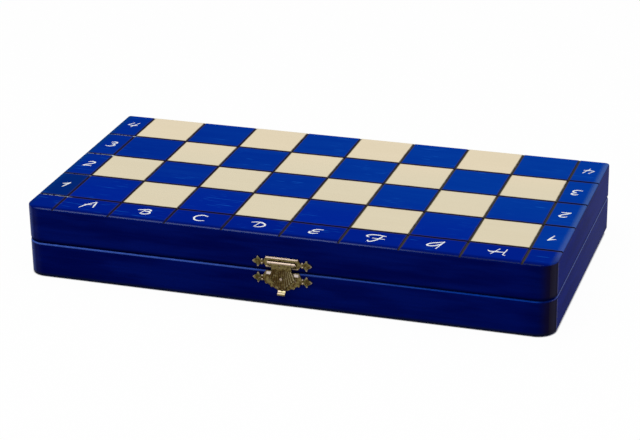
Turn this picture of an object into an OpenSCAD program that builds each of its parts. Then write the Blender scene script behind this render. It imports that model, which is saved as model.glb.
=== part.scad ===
// Magnetic travel chess set: a folding wooden case whose outside is the board,
// with a brass clasp, two butt hinges, and thirty-two turned chessmen inside.
// Millimetres. +X runs along the board's files, -Y is the clasp side, +Z is up.
// The origin is the centre of the closed case's underside.

/* [Board] */
// Pitch of the squares, groove to groove
square_w = 30; // [29:0.5:36]
// Plain border at the left and right ends
side_border = 16; // [12:0.5:25]
// Lettered border along the clasp side
front_border = 19; // [14:0.5:30]
// Thickness of the plywood board panels
board_t = 3; // [2.8:0.1:5]
// Width of the burnt grooves between the squares
groove_w = 1.2; // [0.6:0.1:2.4]
// Depth of the burnt grooves
groove_depth = 0.4; // [0.2:0.05:0.8]
// Rounding of the panels' front and rear edges
edge_r = 0.9; // [0.4:0.1:1.8]
// Rounding of the panels' left and right edges
side_edge_r = 1.2; // [1:0.1:2.7]
// Thickness of the steel sheet behind each panel
steel_t = 0.4; // [0.2:0.1:1]

/* [Case] */
// Thickness of the wooden walls
wall_t = 8; // [7:0.5:10]
// Radius of the two front corners, seen from above
front_corner_r = 9.4; // [5:0.2:14]
// Radius of the two rear corners, seen from above
rear_corner_r = 2; // [1:0.1:4]
// Rounding of the outer rims at the seam
rim_r = 1.1; // [0.4:0.1:1.8]
// Gap between the closed rims
seam_gap = 0.2; // [0.1:0.05:0.4]

/* [Trays] */
// Foam left under the chessmen
tray_floor = 0.8; // [0.5:0.1:2]
// Height of each tray above its steel sheet
tray_h = 10.6; // [9:0.2:12]
// Gap between a tray and the walls
tray_clear = 0.3; // [0.1:0.1:1]
// Gap round a chessman in its pocket
piece_clear = 0.3; // [0.2:0.05:0.6]
// Width of the finger trough between the two rows
trough_w = 26; // [18:1:34]
// Foam left under the finger trough
trough_floor = 2.4; // [1:0.1:4]
// Room between the officers' bases and the seam
headroom = 0.4; // [0.3:0.1:2]

/* [Chessmen] */
// Diameter of the officers' bases
officer_d = 13.5; // [13:0.5:16]
// Diameter of the pawns' bases
pawn_d = 12.5; // [11:0.5:13]
// Height of the kings
king_h = 44; // [40:1:46]
// Height of the queens
queen_h = 40; // [36:1:44]
// Height of the bishops
bishop_h = 34; // [30:1:38]
// Height of the knights
knight_h = 30; // [28:1:34]
// Height of the rooks
rook_h = 27; // [24:1:30]
// Height of the pawns
pawn_h = 24; // [22:1:26]
// Diameter of the magnets in the bases
magnet_d = 8; // [5:0.5:9]
// Thickness of the magnets
magnet_t = 2; // [1:0.25:3]

/* [Hinges] */
// Distance from the middle of the case to each hinge
hinge_x = 82; // [50:1:105]
// Length of a hinge
hinge_w = 25; // [18:1:34]
// Depth of a hinge leaf, from the pin to its inner edge
leaf_d = 6; // [5.2:0.2:6.4]
// Thickness of a hinge leaf
leaf_t = 0.8; // [0.5:0.1:1.2]
// Radius of the hinge knuckles
knuckle_r = 1.5; // [1.3:0.1:2]
// Radius of the hinge pins
hinge_pin_r = 0.6; // [0.4:0.1:0.8]
// Distance of the pin behind the rear face
pin_offset = 0.15; // [0.05:0.05:0.5]

/* [Clasp] */
// Clasp centre, to the right of the middle of the case
clasp_x = 1.65; // [-20:0.05:20]
// Width of the clasp over its pointed ends
clasp_w = 30.6; // [30:0.2:36]
// Thickness of the stamped brass
brass_t = 0.8; // [0.6:0.1:1.1]
// Height of the hasp's pin above the seam
barrel_z = 4.3; // [4:0.1:5.5]
// Radius of the hasp's barrel
barrel_r = 1.25; // [1.1:0.05:1.4]
// Radius of the hasp's pin
hasp_pin_r = 0.5; // [0.4:0.05:0.7]
// Height of the bar above the hasp's pin
bar_rise = 3.15; // [3:0.05:4]
// Length of the bar along its upper edge
bar_l = 16.5; // [15:0.5:18]
// Drop of the clasp plate's lugs below the hasp's pin
lug_drop = 2.5; // [2:0.1:3]
// Width of the barrel over both ears
barrel_w = 14.2; // [13.6:0.2:16]
// Width of the hasp's strap
strap_w = 10.2; // [8:0.2:11]
// Gap between the hasp and the catch plate
hasp_gap = 0.3; // [0.2:0.05:0.5]
// Distance of the shell's point below the seam
shell_drop = 9.2; // [8:0.1:10]
// Half width of the shell at its widest
shell_half_w = 5.8; // [5.4:0.1:7]
// Flutes on the shell
flutes = 11; // [7:2:13]
// Height of the flutes above the valleys between them
flute_h = 0.4; // [0.2:0.05:0.5]
// Radius of the boss on the shell
boss_r = 1.1; // [0.9:0.1:1.6]
// Distance of the boss below the seam
boss_drop = 3; // [2.5:0.1:4]
// Width of the finger tab
tab_w = 3.8; // [3:0.2:6]
// Distance that the finger tab runs out from the shell
tab_out = 1.6; // [1:0.1:2]
// Drop of the finger tab below the shell's point
tab_drop = 2.1; // [1.2:0.1:2.4]
// Depth of the catch plate below the seam
catch_d = 9.9; // [9:0.1:11]
// Distance of the catch plate's brads below the seam
catch_brad_drop = 4.2; // [3.6:0.1:5]
// Height of the pointed ends
point_h = 5.6; // [4.8:0.2:6]
// Length of a pointed end beyond its brad
point_l = 2.8; // [2.4:0.1:3.2]
// Length of the collars between the plates and their pointed ends
collar_l = 1.3; // [1:0.1:1.6]

/* [Brads] */
// Radius of a brad's shank
brad_r = 0.5; // [0.35:0.05:0.7]
// Radius of a brad's head
brad_head_r = 1; // [0.9:0.05:1.3]
// Length of a brad
brad_l = 5; // [3:0.5:6.5]

/* [Hidden] */
$fn = 48;
files = 8;
ranks = 4;
officers = ["rook_1", "knight_1", "bishop_1", "queen", "king", "bishop_2", "knight_2", "rook_2"];
officer_heights = [rook_h, knight_h, bishop_h, queen_h, king_h, bishop_h, knight_h, rook_h];
hinge_sides = ["left", "right"];

// Sizes that follow from the ones above
case_w = files * square_w + 2 * side_border;
case_d = ranks * square_w + front_border;
half_h = board_t + steel_t + tray_floor + piece_clear + officer_d + headroom + seam_gap / 2;
case_h = 2 * half_h;
rim_z = half_h - seam_gap / 2;
rear_y = case_d / 2;
front_y = -case_d / 2;
panel_edge_r = min(edge_r, 0.9 * rear_corner_r, 0.8 * board_t);
panel_side_r = min(side_edge_r, 0.9 * board_t);
rim_edge_r = min(rim_r, 0.9 * rear_corner_r);
edge_steps = 4;

cavity_w = case_w - 2 * wall_t;
cavity_d = case_d - 2 * wall_t;
floor_z = board_t + steel_t;
tray_w = cavity_w - 2 * tray_clear;
tray_d = cavity_d - 2 * tray_clear;
piece_z = floor_z + tray_floor + piece_clear + officer_d / 2;
tall_h = max(officer_heights);
tray_margin = (tray_d - tall_h - pawn_h - 4 * piece_clear - trough_w) / 2;
trough_front_y = -tray_d / 2 + tray_margin + tall_h + 2 * piece_clear;
trough_rear_y = trough_front_y + trough_w;
trough_over = 2;
trough_l = (files - 1) * square_w + officer_d + 2 * trough_over;
foot_h = 4.4;
body_share = 0.84;

hinge_y = rear_y + pin_offset;
knuckles = 5;
knuckle_gap = 0.15;
run_clear = 0.05;
seat_clear = 0.02;
notch_clear = 0.25;
mortise_clear = 0.1;
cut = 0.05;

barrel_out = barrel_r + 0.25;
bar_top = barrel_z + bar_rise;
bar_crest = barrel_out + 0.1;
bar_slope = 0.45;
window_top = barrel_z + barrel_r + 0.25;
ear_gap = 0.15;
hasp_back = brass_t + hasp_gap;
hasp_front = hasp_back + brass_t;
pin_head_r = barrel_out - brass_t - run_clear;
shell_top = 1.2;
flute_r = 0.7 * 2 * shell_half_w / (flutes - 1);
lug_bead_r = 0.4;
brad_x = clasp_w / 2 - point_l;
collar_x = brad_x - 1.5 - collar_l;
clasp_brad_z = barrel_z + 0.1;
head_share = 0.75;

blue = [0.02, 0.16, 0.56];
navy = [0.01, 0.05, 0.30];
cream = [0.86, 0.80, 0.69];
brass = [0.52, 0.45, 0.26];
steel = [0.62, 0.64, 0.66];
flock = [0.09, 0.10, 0.16];
maple = [0.80, 0.64, 0.42];

// Case: the outline has tight rear corners and wide front ones

// Points of a board or wall edge, drawn outwards from the middle of a corner of radius r
function edge_profile(r, h, low_r, high_r) = concat(
    [[0, 0]],
    low_r > 0
        ? [for (i = [0:edge_steps]) let (a = 90 * i / edge_steps)
            [r - low_r + low_r * sin(a), low_r - low_r * cos(a)]]
        : [[r, 0]],
    high_r > 0
        ? [for (i = [0:edge_steps]) let (a = 90 * i / edge_steps)
            [r - high_r + high_r * cos(a), h - high_r + high_r * sin(a)]]
        : [[r, h]],
    [[0, h]]
);

module corner_pie(r, h, low_r, high_r, start) {
    rotate([0, 0, start])
        rotate_extrude(angle = 90)
            polygon(edge_profile(r, h, low_r, high_r));
}

// Straight edge strip whose outside faces -Y at y = 0, centred on X
module edge_strip(length, r, h, low_r, high_r) {
    translate([length / 2, r, 0])
        rotate([90, 0, -90])
            linear_extrude(length)
                polygon(edge_profile(r, h, low_r, high_r));
}

// Block with the case's outline, its lower and upper edges rounded
module case_block(h, low_r, high_r) {
    front_x = case_w / 2 - front_corner_r;
    rear_x = case_w / 2 - rear_corner_r;
    side_l = case_d - front_corner_r - rear_corner_r;
    side_y = (front_corner_r - rear_corner_r) / 2;
    for (side = [-1, 1]) {
        translate([side * front_x, front_y + front_corner_r, 0])
            corner_pie(front_corner_r, h, low_r, high_r, side < 0 ? 180 : 270);
        translate([side * rear_x, rear_y - rear_corner_r, 0])
            corner_pie(rear_corner_r, h, low_r, high_r, side < 0 ? 90 : 0);
        translate([side * case_w / 2, side_y, 0])
            rotate([0, 0, side * 90])
                edge_strip(side_l, rear_corner_r, h, low_r, high_r);
    }
    translate([0, front_y, 0])
        edge_strip(2 * front_x, front_corner_r, h, low_r, high_r);
    translate([0, rear_y, 0])
        rotate([0, 0, 180])
            edge_strip(2 * rear_x, rear_corner_r, h, low_r, high_r);
    translate([-rear_x, front_y + front_corner_r, 0])
        cube([2 * rear_x, side_l, h]);
}

// The upper half is the lower half turned over the seam
module upper_half() {
    translate([0, 0, case_h])
        mirror([0, 0, 1])
            children();
}

// Burnt lines round the squares, cut into the outer face at z = 0
module grooves() {
    for (i = [0:files])
        translate([(i - files / 2) * square_w - groove_w / 2, front_y - 1, -1])
            cube([groove_w, case_d + 2, groove_depth + 1]);
    for (j = [0:ranks - 1])
        translate([-case_w / 2 - 1, front_y + front_border + j * square_w - groove_w / 2, -1])
            cube([case_w + 2, groove_w, groove_depth + 1]);
}

// Cutters that round the lower edges of the left and right sides
module side_rounding(r) {
    for (side = [0, 1])
        mirror([side, 0, 0])
            translate([case_w / 2 - r, 0, r])
                rotate([90, 0, 0])
                    linear_extrude(case_d + 2, center = true)
                        difference() {
                            translate([0, -r - 1])
                                square([r + 1, r + 1]);
                            circle(r);
                        }
}

// The light squares: parity is 0 or 1, and the rearmost row ends where the rear edge rounds off.
// Each runs into the grooves round it by more, and at the rear edge it ends that much short of cut
module light_squares(parity, low, high, more) {
    start = groove_w / 2 - more;
    side = square_w - groove_w + 2 * more;
    rear_cut = panel_edge_r + more + (more > 0 ? cut : 0);
    for (i = [0:files - 1], j = [0:ranks - 1])
        if ((i + j) % 2 == parity)
            translate([(i - files / 2) * square_w + start,
                       front_y + front_border + j * square_w + start, low])
                cube([side, side - (j == ranks - 1 ? rear_cut : 0), high - low]);
}

module board(parity) {
    color(blue)
        difference() {
            case_block(board_t, panel_edge_r, 0);
            side_rounding(panel_side_r);
            grooves();
            light_squares(parity, -1, groove_depth, groove_w / 4);
        }
    color(cream)
        light_squares(parity, 0, groove_depth + cut, 0);
}

module wall_ring() {
    difference() {
        translate([0, 0, board_t])
            case_block(rim_z - board_t, 0, rim_edge_r);
        translate([-cavity_w / 2, -cavity_d / 2, 0])
            cube([cavity_w, cavity_d, half_h + 1]);
    }
}

// Sector of the plan that belongs to one wall, bounded by the mitres
module mitre_sector(side) {
    m = 2 * wall_t;
    x0 = case_w / 2 + 1;
    y0 = case_d / 2 + 1;
    x1 = case_w / 2 - m;
    y1 = case_d / 2 - m;
    points = side == "front" ? [[-x0, -y0], [x0, -y0], [x1, -y1], [-x1, -y1]]
        : side == "rear" ? [[x0, y0], [-x0, y0], [-x1, y1], [x1, y1]]
        : side == "left" ? [[-x0, y0], [-x0, -y0], [-x1, -y1], [-x1, y1]]
        : [[x0, -y0], [x0, y0], [x1, y1], [x1, -y1]];
    linear_extrude(half_h + 1)
        polygon(points);
}

module wall(side) {
    intersection() {
        wall_ring();
        mitre_sector(side);
    }
}

// Mortise for a leaf, notch for the knuckles and holes for the brads
module hinge_seat() {
    for (side = [-1, 1])
        translate([side * hinge_x, hinge_y, half_h]) {
            translate([-hinge_w / 2 - mortise_clear, -leaf_d - mortise_clear, -leaf_t - seam_gap / 2])
                cube([hinge_w + 2 * mortise_clear, leaf_d + 1, leaf_t + 1]);
            rotate([0, 90, 0])
                cylinder(r = knuckle_r + notch_clear, h = hinge_w + 2 * notch_clear, center = true);
            translate([0, 0, -seam_gap / 2])
                hinge_brads()
                    brad_hole();
        }
}

module rear_wall() {
    color(navy)
        difference() {
            wall("rear");
            hinge_seat();
        }
}

module front_wall(plate_z) {
    color(navy)
        difference() {
            wall("front");
            at_clasp()
                clasp_brads(plate_z)
                    brad_hole();
        }
}

module side_wall(side) {
    color(navy)
        wall(side);
}

module steel_sheet() {
    color(steel)
        translate([-tray_w / 2, -tray_d / 2, board_t])
            cube([tray_w, tray_d, steel_t]);
}

// Trays

// Pocket for a chessman lying with its head at the origin and its base towards -Y
module pocket(d, h) {
    slot_h = tray_h + 1;
    body_r = d * body_share / 2 + piece_clear;
    base_r = d / 2 + piece_clear;
    length = h + 2 * piece_clear;
    foot = foot_h + 2 * piece_clear;
    pocket_stage(body_r, slot_h, -1, length);
    pocket_stage(base_r, slot_h, length - foot, length);
}

// Round-bottomed slot from y = -start to y = -end
module pocket_stage(r, slot_h, start, end) {
    mouth = 2 * r - piece_clear;
    translate([0, -start, 0])
        rotate([90, 0, 0])
            linear_extrude(end - start) {
                circle(r);
                translate([-mouth / 2, 0])
                    square([mouth, slot_h]);
            }
}

module tray() {
    color(flock)
        difference() {
            translate([-tray_w / 2, -tray_d / 2, floor_z])
                cube([tray_w, tray_d, tray_h]);
            translate([-trough_l / 2, trough_front_y, floor_z + trough_floor])
                cube([trough_l, trough_w, tray_h]);
            for (i = [0:files - 1]) {
                translate([file_x(i), trough_front_y, piece_z])
                    pocket(officer_d, officer_heights[i]);
                translate([file_x(i), trough_rear_y, piece_z])
                    rotate([0, 0, 180])
                        pocket(pawn_d, pawn_h);
            }
        }
}

function file_x(i) = (i + 0.5 - files / 2) * square_w;

// Hinges, drawn about the pin, which runs along X through the origin

module hinge_brads() {
    for (x = [-0.3, 0.3])
        translate([x * hinge_w, -leaf_d * 0.62, 0])
            children();
}

module knuckle(i, r, more) {
    pitch = hinge_w / knuckles;
    translate([(i + 0.5 - knuckles / 2) * pitch, 0, 0])
        rotate([0, 90, 0])
            cylinder(r = r, h = pitch - knuckle_gap + more, center = true);
}

// Leaf below the seam whose knuckles start at first and skip every other one
module hinge_leaf(first, bore_clear) {
    color(brass)
        difference() {
            union() {
                translate([-hinge_w / 2, -leaf_d, -leaf_t - seam_gap / 2])
                    cube([hinge_w, leaf_d, leaf_t]);
                for (i = [first:2:knuckles - 1])
                    knuckle(i, knuckle_r, 0);
            }
            for (i = [1 - first:2:knuckles - 1])
                knuckle(i, knuckle_r + knuckle_gap, 3 * knuckle_gap);
            rotate([0, 90, 0])
                cylinder(r = hinge_pin_r + bore_clear, h = hinge_w + 1, center = true);
            translate([0, 0, -seam_gap / 2])
                hinge_brads()
                    brad_hole();
        }
}

module hinge_pin() {
    color(brass)
        rotate([0, 90, 0])
            cylinder(r = hinge_pin_r, h = hinge_w, center = true);
}

module at_hinge(side) {
    translate([side * hinge_x, hinge_y, half_h])
        children();
}

// Brads: countersunk, head flush with z = 0, shank towards -Z

module brad() {
    head_h = head_share * brass_t;
    rotate_extrude()
        polygon([[0, 0], [brad_head_r, 0], [brad_r, -head_h], [brad_r, brad_r - brad_l], [0, -brad_l]]);
}

module brad_hole() {
    head_h = head_share * brass_t;
    rotate_extrude()
        polygon([[0, 1], [brad_head_r + seat_clear, 1], [brad_head_r + seat_clear, 0],
                 [brad_r + seat_clear, -head_h], [brad_r + seat_clear, -brad_l - seat_clear],
                 [0, -brad_l - seat_clear]]);
}

// Clasp, drawn flat: x along the case, y up from the seam, z out from the front face

module at_clasp() {
    translate([clasp_x, front_y, half_h])
        rotate([90, 0, 0])
            children();
}

module clasp_brads(plate_z) {
    for (side = [-1, 1])
        translate([side * brad_x, plate_z, brass_t])
            children();
}

// Straight bar along X whose outline, drawn as height and distance out, is a child
module along_x(length) {
    rotate([90, 0, 90])
        translate([0, 0, -length / 2])
            linear_extrude(length)
                children();
}

// Four-pointed end about its brad, drawn with its long point towards +X: hollow sides, round tips
module point_outline() {
    back = brad_x - collar_x - collar_l;
    tip_r = 0.08 * point_h;
    difference() {
        polygon([[point_l, 0], [0, point_h / 2], [-back, 0.18 * point_h], [-back, -0.18 * point_h],
                 [0, -point_h / 2]]);
        for (side = [-1, 1])
            translate([0.67 * point_l, side * 0.45 * point_h])
                circle(0.27 * point_h);
    }
    circle(0.27 * point_h);
    for (side = [-1, 1])
        translate([0, side * (point_h / 2 - 1.1 * tip_r)])
            circle(tip_r);
    translate([point_l - 1.1 * tip_r, 0])
        circle(tip_r);
}

// Both pointed ends of a plate and the collars that join them to it, each with two balls
module plate_ends(plate_z) {
    ball_r = collar_l / 2;
    for (side = [0, 1])
        mirror([side, 0, 0])
            translate([0, plate_z, 0]) {
                linear_extrude(brass_t) {
                    translate([brad_x, 0])
                        point_outline();
                    translate([collar_x - 0.6, -0.16 * point_h])
                        square([collar_l + 1, 0.32 * point_h]);
                }
                for (y = [-0.17, 0.17])
                    translate([collar_x + ball_r, y * point_h, brass_t - 0.2 * ball_r])
                        sphere(ball_r);
            }
}

// The clasp plate has a window between its lugs, where the hasp's barrel turns
module clasp_plate() {
    lug_x = bar_l / 2;
    side_x = collar_x + 0.1;
    lug_z = barrel_z - lug_drop;
    window_x = strap_w / 2 + ear_gap;
    color(brass)
        difference() {
            union() {
                linear_extrude(brass_t)
                    polygon([
                        [-bar_l / 2, bar_top], [bar_l / 2, bar_top], [side_x, clasp_brad_z],
                        [lug_x, lug_z], [window_x, lug_z], [window_x, window_top],
                        [-window_x, window_top], [-window_x, lug_z], [-lug_x, lug_z],
                        [-side_x, clasp_brad_z]
                    ]);
                plate_ends(clasp_brad_z);
                sloped_bar();
                for (side = [-1, 1]) {
                    ear(side);
                    translate([side * (window_x + lug_x) / 2, lug_z + lug_bead_r, brass_t])
                        rotate([0, 90, 0])
                            cylinder(r = lug_bead_r, h = lug_x - window_x, center = true);
                }
            }
            translate([0, barrel_z, barrel_out])
                rotate([0, 90, 0])
                    cylinder(r = hasp_pin_r + seat_clear, h = barrel_w + 1, center = true);
            clasp_brads(clasp_brad_z)
                brad_hole();
        }
}

// Raised bar over the barrel: its upper edge slopes, and its ends spread and slope
module sloped_bar() {
    foot = 0.2;
    top_x = bar_l / 2 - 0.1;
    end_x = top_x + 0.5 * (bar_top - window_top);
    intersection() {
        along_x(2 * end_x)
            polygon([[window_top, foot], [bar_top, foot], [bar_top, brass_t],
                     [bar_top - bar_slope, bar_crest], [window_top + 0.15, bar_crest],
                     [window_top, brass_t]]);
        linear_extrude(bar_crest + 1)
            polygon([[-top_x, bar_top + cut], [top_x, bar_top + cut], [end_x, window_top - cut],
                     [-end_x, window_top - cut]]);
        translate([0, bar_top + 1, 0])
            rotate([90, 0, 0])
                linear_extrude(bar_top)
                    polygon([[-end_x, 0], [end_x, 0], [end_x, brass_t],
                             [end_x - 2 * bar_slope, bar_crest + cut],
                             [2 * bar_slope - end_x, bar_crest + cut], [-end_x, brass_t]]);
    }
}

module ear(side) {
    inner = strap_w / 2 + ear_gap;
    length = barrel_w / 2 - inner;
    foot = 0.2;
    translate([side > 0 ? inner : -inner - length, 0, 0]) {
        translate([0, barrel_z, barrel_out])
            rotate([0, 90, 0])
                cylinder(r = barrel_r, h = length);
        translate([0, barrel_z - 0.8 * barrel_r, foot])
            cube([length, 1.6 * barrel_r, barrel_out - foot]);
    }
}

// The pin's ends are peened into round heads outside the ears
module hasp_pin() {
    head_h = 0.7 * pin_head_r;
    color(brass)
        at_clasp()
            translate([0, barrel_z, barrel_out])
                rotate([0, 90, 0])
                    rotate_extrude() {
                        translate([0, -barrel_w / 2 - seat_clear - cut])
                            square([hasp_pin_r, barrel_w + 2 * (seat_clear + cut)]);
                        for (side = [0, 1])
                            mirror([0, side])
                                translate([0, barrel_w / 2 + seat_clear])
                                    intersection() {
                                        translate([0, head_h - pin_head_r])
                                            circle(pin_head_r);
                                        square([pin_head_r, head_h]);
                                    }
                    }
}

// Ends of a flute, where t runs from -1 at the left to 1 at the right
function flute_start(t) = [t * 0.42 * strap_w, shell_top];
function flute_end(t) = [t * shell_half_w, -shell_drop * (1 - 0.62 * abs(t))];

// Round flute from a narrow start under the strap to its domed end on the shell's lower edge
module flute(t) {
    crest = hasp_front + flute_h;
    start = flute_start(t);
    end = flute_end(t);
    run = norm(end - start);
    start_r = 0.64 * flute_r;
    tilt = atan((flute_r - start_r) / run);
    translate([start[0], start[1], crest - start_r])
        rotate([0, 0, atan2(end[1] - start[1], end[0] - start[0])])
            rotate([0, 90 + tilt, 0])
                rotate_extrude()
                    intersection() {
                        union() {
                            polygon([[0, 0], [start_r, 0], [flute_r, run], [0, run]]);
                            translate([0, run])
                                circle(1.03 * flute_r);
                        }
                        square([2 * flute_r, run + 2 * flute_r]);
                    }
}

// Scallop shell: round flutes on a flat sheet
module shell() {
    turns = [for (i = [0:flutes - 1]) 2 * i / (flutes - 1) - 1];
    intersection() {
        union()
            for (t = turns)
                flute(t);
        translate([-clasp_w / 2, -2 * shell_drop, hasp_back])
            cube([clasp_w, 2 * shell_drop + shell_top, 2 * brass_t + 1]);
    }
    translate([0, 0, hasp_back])
        linear_extrude(0.9 * brass_t)
            polygon(concat([flute_start(1), flute_start(-1)], [for (t = turns) flute_end(t)]));
}

// Outline of the strap from the side: flat inside, swelling outwards under the barrel
module strap_outline() {
    swell = hasp_front + 0.3;
    swell_r = 2.6;
    low = 0.35 * shell_top;
    translate([low, hasp_back])
        square([barrel_z - low, brass_t]);
    intersection() {
        translate([(barrel_z + shell_top) / 2, swell - swell_r])
            circle(swell_r);
        translate([1.3 * shell_top, hasp_back])
            square([barrel_z - 1.3 * shell_top, 2 * brass_t]);
    }
}

// Outline of the finger tab from the side: it runs outwards and down to a rolled lip
module tab_outline() {
    root = -shell_drop - 0.4;
    lip_r = 0.5 * brass_t;
    lip = [root - tab_drop + lip_r, hasp_front + tab_out - lip_r];
    difference() {
        polygon([[root + 1.4, hasp_back], [root + 1.4, hasp_front], [root, hasp_front],
                 [lip[0] + lip_r, lip[1] + 0.6 * lip_r],
                 [lip[0] - 0.6 * lip_r, lip[1] - 0.8 * lip_r], [root - brass_t, hasp_back]]);
        translate([(root + lip[0] + lip_r) / 2, (hasp_front + lip[1] + 1.4 * lip_r) / 2])
            circle(0.8 * lip_r);
    }
    translate(lip)
        circle(1.2 * lip_r);
}

module hasp() {
    color(brass)
        difference() {
            union() {
                translate([0, barrel_z, barrel_out])
                    rotate([0, 90, 0])
                        cylinder(r = barrel_r, h = strap_w, center = true);
                along_x(strap_w)
                    strap_outline();
                shell();
                translate([0, -boss_drop, hasp_front])
                    cylinder(r1 = boss_r, r2 = 0.6 * boss_r, h = flute_h + 0.8);
                along_x(tab_w)
                    tab_outline();
            }
            translate([0, -boss_drop, 0])
                cylinder(r = 0.7 * boss_r, h = hasp_front + 0.3);
            translate([0, barrel_z, barrel_out])
                rotate([0, 90, 0])
                    cylinder(r = hasp_pin_r + run_clear, h = strap_w + 1, center = true);
        }
}

// The catch plate's upper edge slopes back on both sides of the hasp, and its nib stands in the boss
module catch_plate() {
    side_x = collar_x + 0.1;
    lobe_r = 0.09 * side_x;
    lip = 0.35 * brass_t;
    color(brass)
        difference() {
            union() {
                linear_extrude(brass_t) {
                    polygon([
                        [-0.87 * side_x, -seam_gap], [0.87 * side_x, -seam_gap],
                        [side_x, -0.26 * catch_d], [side_x, -0.54 * catch_d],
                        [0.8 * side_x, -0.7 * catch_d], [0.25 * side_x, -catch_d],
                        [-0.25 * side_x, -catch_d], [-0.8 * side_x, -0.7 * catch_d],
                        [-side_x, -0.54 * catch_d], [-side_x, -0.26 * catch_d]
                    ]);
                    for (side = [-1, 1]) {
                        translate([side * 0.84 * side_x, -0.64 * catch_d])
                            circle(lobe_r);
                        translate([side * 0.56 * side_x, -0.8 * catch_d])
                            circle(lobe_r);
                    }
                }
                plate_ends(-catch_brad_drop);
                translate([0, -boss_drop, brass_t - cut])
                    cylinder(r1 = 0.5 * boss_r, r2 = 0.35 * boss_r, h = hasp_gap / 2 + cut);
            }
            along_x(2 * side_x)
                polygon([[0, lip], [1, brass_t + 1], [-seam_gap, brass_t + 1], [-2, brass_t],
                         [-seam_gap, lip]]);
            clasp_brads(-catch_brad_drop)
                brad_hole();
        }
}

// Chessmen, turned about Z with the base at z = 0

// Profile of the foot and waist: the stem narrows to waist_r, then flares to the collar at top_h
module foot_profile(d, waist_r, top_h) {
    rim = 2.2;
    shoulder = 0.40 * d;
    step_h = 3.4;
    waist_h = 0.62 * top_h;
    arc_r = ((shoulder - waist_r) * (shoulder - waist_r) + (waist_h - step_h) * (waist_h - step_h))
        / (2 * (shoulder - waist_r));
    translate([d / 2 - rim / 2, rim / 2])
        circle(rim / 2);
    square([d / 2 - rim / 2, 0.98 * rim]);
    square([shoulder, step_h + cut]);
    difference() {
        translate([0, step_h])
            square([shoulder - cut, top_h - step_h]);
        translate([waist_r + arc_r, waist_h])
            circle(arc_r);
    }
}

module collar_profile(r, z, t) {
    translate([r - t / 2, z])
        circle(t / 2);
    translate([0, z - 0.48 * t])
        square([r - t / 2, 0.96 * t]);
}

// Turns the right half of the profile given, and bores the magnet's seat
module turned(d, h) {
    difference() {
        rotate_extrude()
            intersection() {
                union()
                    children();
                square([d, h]);
            }
        translate([0, 0, -1])
            cylinder(r = magnet_d / 2 + seat_clear, h = magnet_t + seat_clear + 1);
    }
}

module pawn() {
    d = pawn_d;
    head_r = 0.3 * d;
    neck_h = pawn_h - 1.75 * head_r;
    turned(d, pawn_h) {
        foot_profile(d, 0.17 * d, neck_h);
        collar_profile(0.31 * d, neck_h - 0.4, 1.5);
        translate([0, pawn_h - head_r])
            circle(head_r);
    }
}

module rook() {
    d = officer_d;
    tower_r = 0.35 * d;
    crown_h = 0.245 * rook_h;
    tower_h = rook_h - crown_h;
    well_h = 0.36 * crown_h;
    notch_h = 0.27 * crown_h;
    notch_w = 0.1 * d;
    difference() {
        turned(d, rook_h) {
            foot_profile(d, 0.24 * d, tower_h);
            collar_profile(tower_r, tower_h - 0.2, 1.5);
            translate([0, tower_h])
                square([tower_r - 0.5, crown_h]);
        }
        translate([0, 0, rook_h - well_h])
            cylinder(r = 0.6 * tower_r, h = well_h + 1);
        for (a = [30, 90, 150])
            rotate([0, 0, a])
                translate([-d, -notch_w / 2, rook_h - notch_h])
                    cube([2 * d, notch_w, notch_h + 1]);
    }
}

// Pointed leaf standing on the origin
module petal(length, width) {
    r = (length * length / 4 + width * width / 4) / width;
    intersection() {
        translate([r - width / 2, length / 2])
            circle(r);
        translate([width / 2 - r, length / 2])
            circle(r);
    }
}

module bishop() {
    d = officer_d;
    head_w = 0.52 * d;
    head_l = 0.34 * bishop_h;
    neck_h = bishop_h - 1.6 - head_l;
    difference() {
        turned(d, bishop_h) {
            foot_profile(d, 0.17 * d, neck_h + 0.8);
            collar_profile(0.33 * d, neck_h - 0.4, 1.5);
            collar_profile(0.26 * d, neck_h + 0.9, 1.2);
            translate([0, neck_h])
                petal(head_l + 0.6, head_w);
            translate([0, bishop_h - 1.2])
                circle(1.2);
        }
        translate([0, 0, neck_h + 0.62 * head_l])
            rotate([0, -40, 0])
                translate([0, -d / 2, -0.4])
                    cube([d / 2, d, 0.8]);
    }
}

// Cup of a king's or queen's head, flaring from the neck to the rim
module crown_profile(neck_r, rim_r, z, h) {
    difference() {
        translate([0, z])
            square([rim_r, h]);
        translate([rim_r + 1.45 * h, z + 0.15 * h])
            circle(sqrt(pow(rim_r + 1.45 * h - neck_r, 2)));
    }
    translate([0, z])
        square([neck_r, h]);
}

module queen() {
    d = officer_d;
    cup_h = 0.19 * queen_h;
    ball_r = 1.5;
    neck_h = queen_h - cup_h - 2 * ball_r - 0.2;
    difference() {
        turned(d, queen_h) {
            foot_profile(d, 0.17 * d, neck_h + 0.5);
            collar_profile(0.34 * d, neck_h - 1, 1.6);
            collar_profile(0.27 * d, neck_h + 0.5, 1.2);
            crown_profile(0.17 * d, 0.34 * d, neck_h, cup_h);
            translate([0, neck_h + cup_h - 0.9])
                circle(1.9);
            translate([0, queen_h - ball_r])
                circle(ball_r);
        }
        for (a = [0:45:135])
            rotate([0, 0, a])
                translate([0, 0, neck_h + cup_h + 0.5])
                    rotate([0, 90, 0])
                        crown_notch(d);
    }
}

// Round notch cut across the rim on both sides, clear of the middle
module crown_notch(d) {
    for (side = [-1, 1])
        translate([0, 0, side > 0 ? 0.2 * d : -0.6 * d])
            cylinder(r = 1.2, h = 0.4 * d);
}

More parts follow.
